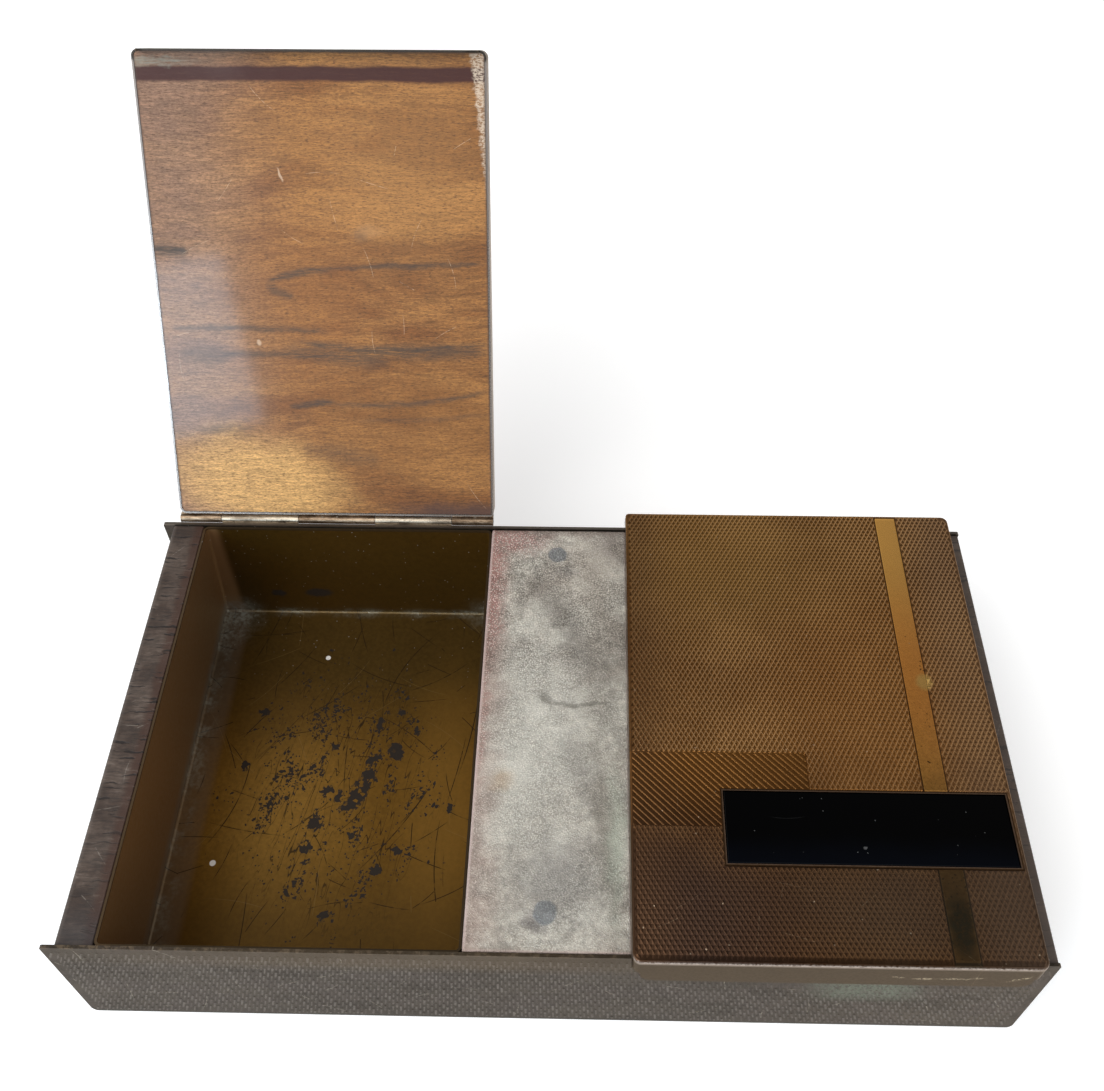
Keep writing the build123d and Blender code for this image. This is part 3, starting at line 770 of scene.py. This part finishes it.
def black_glass(side):
    """The polished black bar: almost no colour, with a little dust and faint hairlines on it."""
    mat = Material(f"{side}_bar_black", Specular_IOR_Level=0.1)
    place = mat.place(side)
    bright_speck = place.ragged(0.5, 1.0).spot((73.4, -38.0), (0.45, 0.35), soft=0.4)
    dust = most(specks(place, 0.2, 0.008), bright_speck)
    hairs = hairlines(place, 8, 0.07, 0.06) * 0.5
    marks = most(dust * 0.4, hairs * 0.12)
    # Painted reflection: the bar turns faintly bluish towards its front edge.
    painted_reflection = place.ragged(2, 0.1).axes()[1].ramp(-34, -42) * 0.4
    mat.colour = painted_reflection.between((0.0003, 0.0003, 0.0004), (0.002, 0.003, 0.006))
    mat.paint((0.16, 0.16, 0.16), marks)
    smear = place.scaled((0.05, 0.16, 1)).noise(1.0, 3, 0.5)
    rough = smear.ramp(0.35, 0.7, 0.04, 0.1) + marks * 0.4
    return mat.finish(rough, marks, 0.02 * MM, 0.4)


def hinge_metal(name, dull, bright, side=None):
    """Hinge and screw metal: rubbed bright in places, with dirt and small pits."""
    mat = Material(name, Metallic=1.0)
    place = mat.place(side)
    cloud = place.scaled((0.12, 0.5, 0.5)).noise(1.0, 4, 0.65)
    grit = place.noise(2.4, 4, 0.65)
    mat.colour = cloud.ramp(0.35, 0.62).between(dull, bright)
    mat.tint(grit.ramp(0.3, 0.7, 0.75, 1.15))
    dirt = specks(place, 0.5, 0.14)
    mat.paint((0.4, 0.36, 0.3), dirt * 0.7)
    pits = place.noise(1.1, 3, 0.6).ramp(0.62, 0.7)
    mat.paint((0.03, 0.022, 0.016), pits * 0.7)
    rough = grit.ramp(0.2, 0.8, 0.28, 0.48) + dirt * 0.3
    return mat.finish(rough, grit - pits * 0.8, 0.03 * MM, 0.5)


# ---------------------------------------------------------------- pieces


def add_piece(name, mesh, body, material):
    """Makes a finished bmesh into a piece that rides a body."""
    data = bpy.data.meshes.new(name)
    mesh.to_mesh(data)
    mesh.free()
    data.materials.append(material)
    piece = add_object(name, data)
    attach(piece, body)
    return piece


def rectangle(low, high):
    """Corners of a rectangle, anticlockwise."""
    return [Vector(at) for at in ((high.x, high.y), (low.x, high.y), low, (high.x, low.y))]


def rounded_rectangle(low, high, radius, steps=5):
    """Corners of a rectangle with rounded corners, anticlockwise, all on one plane."""
    points = []
    inset = Vector((radius, radius))
    for number, centre in enumerate(rectangle(low + inset, high - inset)):
        for step in range(steps + 1):
            angle = math.radians(90 * (number + step / steps))
            points.append(centre + radius * Vector((math.cos(angle), math.sin(angle))))
    return points


def cut_line(mesh, start, along, clear=False, inside=None):
    """Cuts along a line on the XY plane, all the way or only near a box (low, high)."""
    faces = mesh.faces[:]
    if inside:
        low, high = inside
        faces = [
            face for face in faces
            if all(
                min(vert.co[i] for vert in face.verts) < high[i] + RELIEF_RIM
                and max(vert.co[i] for vert in face.verts) > low[i] - RELIEF_RIM
                for i in (0, 1)
            )
        ]
    # Kept in the order they are met, so that the mesh comes out the same each run.
    edges = dict.fromkeys(edge for face in faces for edge in face.edges)
    verts = dict.fromkeys(vert for face in faces for vert in face.verts)
    bmesh.ops.bisect_plane(
        mesh, geom=[*verts, *edges, *faces], dist=SAME_POINT,
        plane_co=(*start, 0), plane_no=(along.y, -along.x, 0), clear_outer=clear,
    )


def cut_to(mesh, outline):
    """Cuts away what lies outside a convex outline that runs anticlockwise."""
    for start, end in zip(outline, outline[1:] + outline[:1]):
        if (end - start).length > SAME_POINT:
            cut_line(mesh, start, end - start, clear=True)


def score_box(mesh, low, high):
    """Cuts along the four sides of a box, and takes nothing away."""
    for start in (low, high):
        for along in (Vector((1, 0)), Vector((0, 1))):
            cut_line(mesh, start, along, inside=(low, high))


def cut_hole(mesh, low, high):
    """Cuts a rectangular hole, with a rim round it for the metal to slope down in."""
    rim = Vector((RELIEF_RIM, RELIEF_RIM))
    score_box(mesh, low - rim, high + rim)
    score_box(mesh, low, high)
    inside = [
        face for face in mesh.faces
        if all(low[i] < face.calc_center_median()[i] < high[i] for i in (0, 1))
    ]
    bmesh.ops.delete(mesh, geom=inside, context="FACES")


def diamond_sheet(low, high):
    """Rows of four-sided pits over a rectangle, with a net of ridges between them."""
    mesh = bmesh.new()
    step = Vector((DIAMOND_WIDTH / 2, DIAMOND_LENGTH / 2))
    columns = math.ceil((high.x - low.x) / step.x)
    rows = math.ceil((high.y - low.y) / step.y)

    def vert(i, j):
        rise = DIAMOND_RISE * ((i + j + 1) % 2)
        return mesh.verts.new((low.x + i * step.x, low.y + j * step.y, rise))

    grid = [[vert(i, j) for i in range(columns + 1)] for j in range(rows + 1)]
    for j in range(rows):
        for i in range(columns):
            a, b, c, d = grid[j][i], grid[j][i + 1], grid[j + 1][i + 1], grid[j + 1][i]
            for half in ((a, b, c), (a, c, d)) if (i + j) % 2 == 0 else ((a, b, d), (b, c, d)):
                mesh.faces.new(half)
    return mesh


def ridge_sheet(low, high):
    """Straight ridges that cross a rectangle at RIDGE_TURN."""
    mesh = bmesh.new()
    centre = (low + high) / 2
    reach = (high - low).length / 2 + RIDGE_PITCH
    along = Vector((math.cos(RIDGE_TURN), math.sin(RIDGE_TURN)))
    across = Vector((-along.y, along.x))
    count = math.ceil(reach / RIDGE_PITCH)
    middle, foot, low_rise = RIDGE_PITCH / 2, RIDGE_FOOT / 2, RIDGE_FOOT_RISE * RIDGE_RISE
    profile = ((0.0, 0.0), (middle - foot, low_rise), (middle, RIDGE_RISE), (middle + foot, low_rise))
    lines = []
    for number in range(-count, count + 1):
        for offset, level in profile:
            place = centre + across * (number * RIDGE_PITCH + offset)
            ends = [place + along * reach * way for way in (-1, 1)]
            lines.append([mesh.verts.new((*end, level)) for end in ends])
    for near, far in zip(lines, lines[1:]):
        mesh.faces.new((near[0], near[1], far[1], far[0]))
    return mesh


def stripe_sheet(low, high):
    """A flat stripe with its long edges bevelled."""
    mesh = bmesh.new()
    bmesh.ops.create_grid(mesh, x_segments=13, y_segments=120, size=0.5)
    size, middle = high - low, (low + high) / 2
    for vert in mesh.verts:
        edge = min(1.0, (0.5 - abs(vert.co.x)) * size.x / STRIPE_BEVEL)
        vert.co = (middle.x + vert.co.x * size.x, middle.y + vert.co.y * size.y, STRIPE_RISE * edge)
    return mesh


def lid_relief(side, material):
    """The engine-turned top of a lid, laid on its shell: diamonds, ridges and a stripe."""
    low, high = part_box("right_lid_shell")
    bar_low, bar_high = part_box("right_lid_bar")
    edge, border, rim = (Vector((w, w)) for w in (LID_EDGE, BAR_BORDER, RELIEF_RIM))
    field_low, field_high = low.xy + edge, high.xy - edge
    bar = (bar_low.xy - border, bar_high.xy + border)
    stripe_x = high.x - STRIPE_FROM_OUTER - STRIPE_WIDTH
    stripe = (Vector((stripe_x, field_low.y)), Vector((stripe_x + STRIPE_WIDTH, field_high.y)))
    hatch_low = Vector((field_low.x, low.y + HATCH_FROM_FRONT))
    hatch = (hatch_low, hatch_low + Vector((HATCH_WIDTH - LID_EDGE, HATCH_DEPTH)))

    diamonds = diamond_sheet(field_low, field_high)
    cut_to(diamonds, rounded_rectangle(field_low, field_high, LID_CORNER))
    for hole in (stripe, hatch, bar):
        cut_hole(diamonds, *hole)
    ridges = ridge_sheet(*hatch)
    cut_to(ridges, rectangle(*hatch))
    score_box(ridges, hatch[0] + rim, hatch[1] - rim)
    cut_hole(ridges, *bar)
    band = stripe_sheet(*stripe)
    cut_hole(band, *bar)

    hinge, turn = hinge_of(side)
    swing = Matrix.Translation(hinge) @ Matrix.Rotation(-turn, 4, "X") @ Matrix.Translation(-hinge)
    mirror = Matrix.Diagonal((-1 if side == "left" else 1, 1, 1, 1))
    to_rest = swing @ mirror @ Matrix.Translation((0, 0, high.z - BORDER_RISE))
    outward = (to_rest.to_3x3() @ Vector((0, 0, 1))).normalized()
    for name, sheet in (("diamonds", diamonds), ("ridges", ridges), ("stripe", band)):
        for vert in {vert for edge in sheet.edges if edge.is_boundary for vert in edge.verts}:
            vert.co.z = -RELIEF_SINK
        sheet.transform(to_rest)
        bmesh.ops.recalc_face_normals(sheet, faces=sheet.faces[:])
        if sum(face.normal.dot(outward) for face in sheet.faces) < 0:
            bmesh.ops.reverse_faces(sheet, faces=sheet.faces[:])
        add_piece(f"{side}_lid_{name}", sheet, f"{side}_lid", material)


def rubbed_flat(x, z):
    """How far hands have rubbed the front's strokes flat under the right lid, from 0 to 1."""
    along = math.exp(-(((x - RUBBED_PLACE.x) / RUBBED_SIZE.x) ** 4))
    up = 1 / (1 + math.exp(-(z - RUBBED_PLACE.y) / RUBBED_SIZE.y))
    return along * up


def case_strokes(face, material):
    """Raised strokes on the case's front or back, in columns that lean towards the middle."""
    low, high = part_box("case_shell")
    out = -1 if face == "front" else 1
    plate = low.y if face == "front" else high.y
    mesh = bmesh.new()
    left, right = low.x + PLATE_END_MARGIN, high.x - PLATE_END_MARGIN
    foot, head = low.z + PLATE_FOOT_MARGIN, high.z - PLATE_TOP_MARGIN
    half = Vector((STROKE_WIDTH / 2, STROKE_LENGTH / 2))
    reach = int(right * STROKE_REACH / STROKE_PITCH)
    for column in range(-reach, reach + 1):
        start = column * STROKE_PITCH
        lean = -STROKE_FAN * start
        first = (column * STROKE_STEP) % STROKE_REPEAT
        for row in range(-2, 2 * math.ceil((head - foot) / STROKE_REPEAT) + 1):
            z = foot + first + row * STROKE_REPEAT / 2
            x = start + lean * (z - foot)
            bottom, top = max(z - half.y, foot), min(z + half.y, head)
            if top - bottom < half.y or not left + half.x < x < right - half.x:
                continue
            rise = STROKE_RISE * (DIM_STROKE if row % 2 else 1.0)
            if face == "front":
                rise *= 1 - RUBBED_DEPTH * rubbed_flat(start, z)
            middle = (bottom + top) / 2
            centre = Vector((x + lean * (middle - z), plate, middle))
            add_stroke(mesh, centre, (half.x, (top - bottom) / 2, rise), lean, out)
    bmesh.ops.recalc_face_normals(mesh, faces=mesh.faces[:])
    add_piece(f"case_{face}_strokes", mesh, "box", material)


def add_stroke(mesh, centre, size, lean, out):
    """One long six-sided ridge that stands out of the plate along Y, leaning sideways."""
    half_width, half_length, rise = size
    shoulder = half_length - half_width

    def vert(x, z, depth=-RELIEF_SINK):
        return mesh.verts.new(centre + Vector((x + lean * z, out * depth, z)))

    a, b, c = vert(0, half_length), vert(half_width, shoulder), vert(half_width, -shoulder)
    d, e, f = vert(0, -half_length), vert(-half_width, -shoulder), vert(-half_width, shoulder)
    top, foot = vert(0, shoulder, rise), vert(0, -shoulder, rise)
    for corners in (
        (a, b, c, d, e, f), (a, b, top), (b, c, foot, top), (c, d, foot),
        (d, e, foot), (e, f, top, foot), (f, a, top),
    ):
        mesh.faces.new(corners)


def leather_height(x, y):
    """How far the leather's face is lifted at a place in millimetres, in millimetres."""
    point = Vector((x, y, 0))
    lift = 0.05 * noise.noise(point * 0.07) + 0.03 * noise.noise(point * 0.3)
    lift += 0.035 * noise.fractal(point * 1.3, 0.6, 2.0, 3)
    for place in SCREW_PLACES:
        away = (Vector((x, y)) - place / MM).length
        lift += 0.14 * math.exp(-((away / 2.4) ** 4)) - 0.06 * math.exp(-((away - 3.6) ** 2) / 0.6)
    # A crease across the middle, and puckers at the back that fade away from the right edge.
    crease = 4.6 - 1.2 * math.tanh((x + 1.5) / 1.2) + 0.4 * noise.noise(point * 0.4)
    if -4 < x < 11:
        lift -= 0.1 * math.exp(-((y - crease) ** 2) / 0.35)
    for at, run, wave in ((50.0, 7, 0.09), (55.5, 9, 0.1), (59.0, 8, 0.08)):
        pucker = at + 0.35 * (x - 19) + 0.8 * noise.noise(point * 0.2)
        fade = max(0.0, (x - (19 - run)) / run)
        lift += wave * fade * math.exp(-((y - pucker) ** 2) / 0.5)
    return lift


def leather_strip(material):
    """The leather with its turned-down edges, as one thick sheet with grain and creases."""
    low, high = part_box("centre_leather")
    length, top = high.y - low.y, high.z - LEATHER_MARGIN
    flat = high.x - LEATHER_EDGE
    arc = LEATHER_EDGE * math.pi / 2
    reach = flat + arc + LEATHER_TURN - LEATHER_EDGE + LEATHER_THICKNESS
    columns = 2 * math.ceil(reach / LEATHER_CELL)
    rows = math.ceil(length / LEATHER_CELL)
    mesh = bmesh.new()

    def vert(row, column):
        y = low.y + length * row / rows
        run = reach * (2 * column / columns - 1)
        way, far = math.copysign(1, run), abs(run)
        turn = min(max(far - flat, 0), arc) / LEATHER_EDGE
        x = min(far, flat) + LEATHER_EDGE * math.sin(turn)
        z = top - LEATHER_EDGE * (1 - math.cos(turn)) - max(far - flat - arc, 0)
        out = Vector((way * math.sin(turn), 0, math.cos(turn)))
        lift = min(leather_height(way * x / MM, y / MM) * MM, LEATHER_LIFT)
        edge = min(1.0, (high.y - abs(y)) / LEATHER_ROUND)
        lift = lift * math.cos(turn) - LEATHER_DROP * (1 - edge) ** 2
        return mesh.verts.new(Vector((way * x, y, z)) + out * lift)

    grid = [[vert(row, column) for column in range(columns + 1)] for row in range(rows + 1)]
    for below, above in zip(grid, grid[1:]):
        for column in range(columns):
            corners = (below[column], below[column + 1], above[column + 1], above[column])
            mesh.faces.new(corners).smooth = True
    piece = add_piece("strip_leather", mesh, "box", material)
    thick = piece.modifiers.new("thickness", "SOLIDIFY")
    thick.thickness = LEATHER_SHEET
    thick.offset = -1
    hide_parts("centre_leather")


def finish_node(name, material):
    """Gives a CAD node its material."""
    slots = frame["nodes"][name].data.materials
    slots.clear()
    slots.append(material)


# ---------------------------------------------------------------- studio


def floor():
    """A pale floor that keeps the object's shadow."""
    mesh = bpy.data.meshes.new("floor")
    corners = [(x * FLOOR_REACH, y * FLOOR_REACH, 0) for x, y in ((-1, -1), (1, -1), (1, 1), (-1, 1))]
    mesh.from_pydata(corners, [], [(0, 1, 2, 3)])
    piece = add_object("floor", mesh)
    piece.location.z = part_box("case_shell")[0].z
    mat = Material(
        "floor", Base_Color=(0.8, 0.8, 0.8), Roughness=0.9, Specular_IOR_Level=0.0,
        Emission_Color=(1, 1, 1),
    )
    mat.set(Emission_Strength=seen_directly(mat.tree) * 0.4)
    mesh.materials.append(mat.data)


def seen_directly(tree):
    """1 for what the camera sees, straight or in gloss and glass, and 0 for light."""
    rays = tree.nodes.new("ShaderNodeLightPath").outputs
    seen = Value(rays["Is Camera Ray"])
    for name in ("Is Glossy Ray", "Is Transmission Ray"):
        seen = seen.node("Math", {0: seen, 1: Value(rays[name])}, operation="ADD", use_clamp=True)
    return seen


def sky():
    """A room with white walls: dimmer to the right above the table, and dim overhead."""
    world = bpy.data.worlds.new("room")
    bpy.context.scene.world = world
    world.use_nodes = True
    nodes = world.node_tree.nodes
    x, _, z = Value(nodes.new("ShaderNodeTexCoord").outputs["Generated"]).axes()
    sides = x.ramp(-0.05, 0.45).between(ROOM_LEFT, ROOM_RIGHT)
    walls = z.ramp(0.2, 0.45).between(ROOM_WALL, sides)
    feed(nodes["Background"].inputs["Color"], z.ramp(0.62, 0.93).between(walls, ROOM_OVERHEAD))


def lamp(name, place, target, size, power, colour, roll=0.0):
    """A soft rectangular lamp that faces the target, rolled in degrees."""
    data = bpy.data.lights.new(name, "AREA")
    data.shape = "RECTANGLE"
    data.size, data.size_y = size
    data.energy = power
    data.color = colour
    piece = add_object(name, data)
    piece.location = place
    aim = (Vector(target) - Vector(place)).to_track_quat("-Z", "Y").to_matrix()
    piece.rotation_euler = (aim @ Matrix.Rotation(math.radians(roll), 3, "Z")).to_euler()


def camera():
    data = bpy.data.cameras.new("camera")
    data.sensor_fit = "HORIZONTAL"
    data.sensor_width = 36
    data.lens = CAMERA_LENS
    data.shift_x, data.shift_y = CAMERA_SHIFT
    data.clip_start = 0.01
    piece = add_object("camera", data)
    up = CAMERA_RIGHT.cross(CAMERA_LOOK)
    turn = Matrix((CAMERA_RIGHT, up, -CAMERA_LOOK)).transposed()
    piece.matrix_world = Matrix.Translation(CAMERA_PLACE) @ turn.to_4x4()
    bpy.context.scene.camera = piece


camera()
sky()
floor()
lamp("key", (-0.6, -0.5, 1.1), (0, 0, 0.02), (1.2, 0.9), 12, (1.0, 0.98, 0.95))
lamp("fill", (0.9, -0.4, 1.0), (0, 0, 0.02), (1.0, 0.9), 4.5, (0.96, 0.98, 1.0))
lamp("window", (-0.551, -0.7425, 0.281), (-0.382, 0.09, 0.035), (0.45, 0.17), 4, (0.6, 0.8, 1.0), 16)
bpy.context.scene.view_settings.view_transform = "Standard"

metals = {side: lid_bronze(side) for side in ("left", "right")}
case_metal = case_bronze()
end_block_wood = end_wood()
tray_finish = lacquer()
strip_wood = plain_wood()
brass = hinge_metal("hinge_brass", (0.17, 0.135, 0.1), (0.46, 0.39, 0.3))
steel = hinge_metal("screw_steel", (0.2, 0.19, 0.18), (0.5, 0.48, 0.45))
for side, metal in metals.items():
    leaf = hinge_metal(f"{side}_leaf_bronze", (0.1, 0.065, 0.04), (0.34, 0.25, 0.17), side)
    for node, material in (
        ("lid_shell", metal), ("lid_lining", walnut(side)), ("lid_bar", black_glass(side)),
        ("lid_leaf", leaf), ("case_leaf", brass), ("hinge_pin", steel), ("tray", tray_finish),
        ("end_block", end_block_wood),
    ):
        finish_node(f"{side}_{node}", material)
    lid_relief(side, metal)
finish_node("case_shell", case_metal)
finish_node("centre_block", strip_wood)
finish_node("centre_board", strip_wood)
for end in ("front", "back"):
    finish_node(f"centre_screw_{end}", steel)
    case_strokes(end, case_metal)
leather_strip(leather())
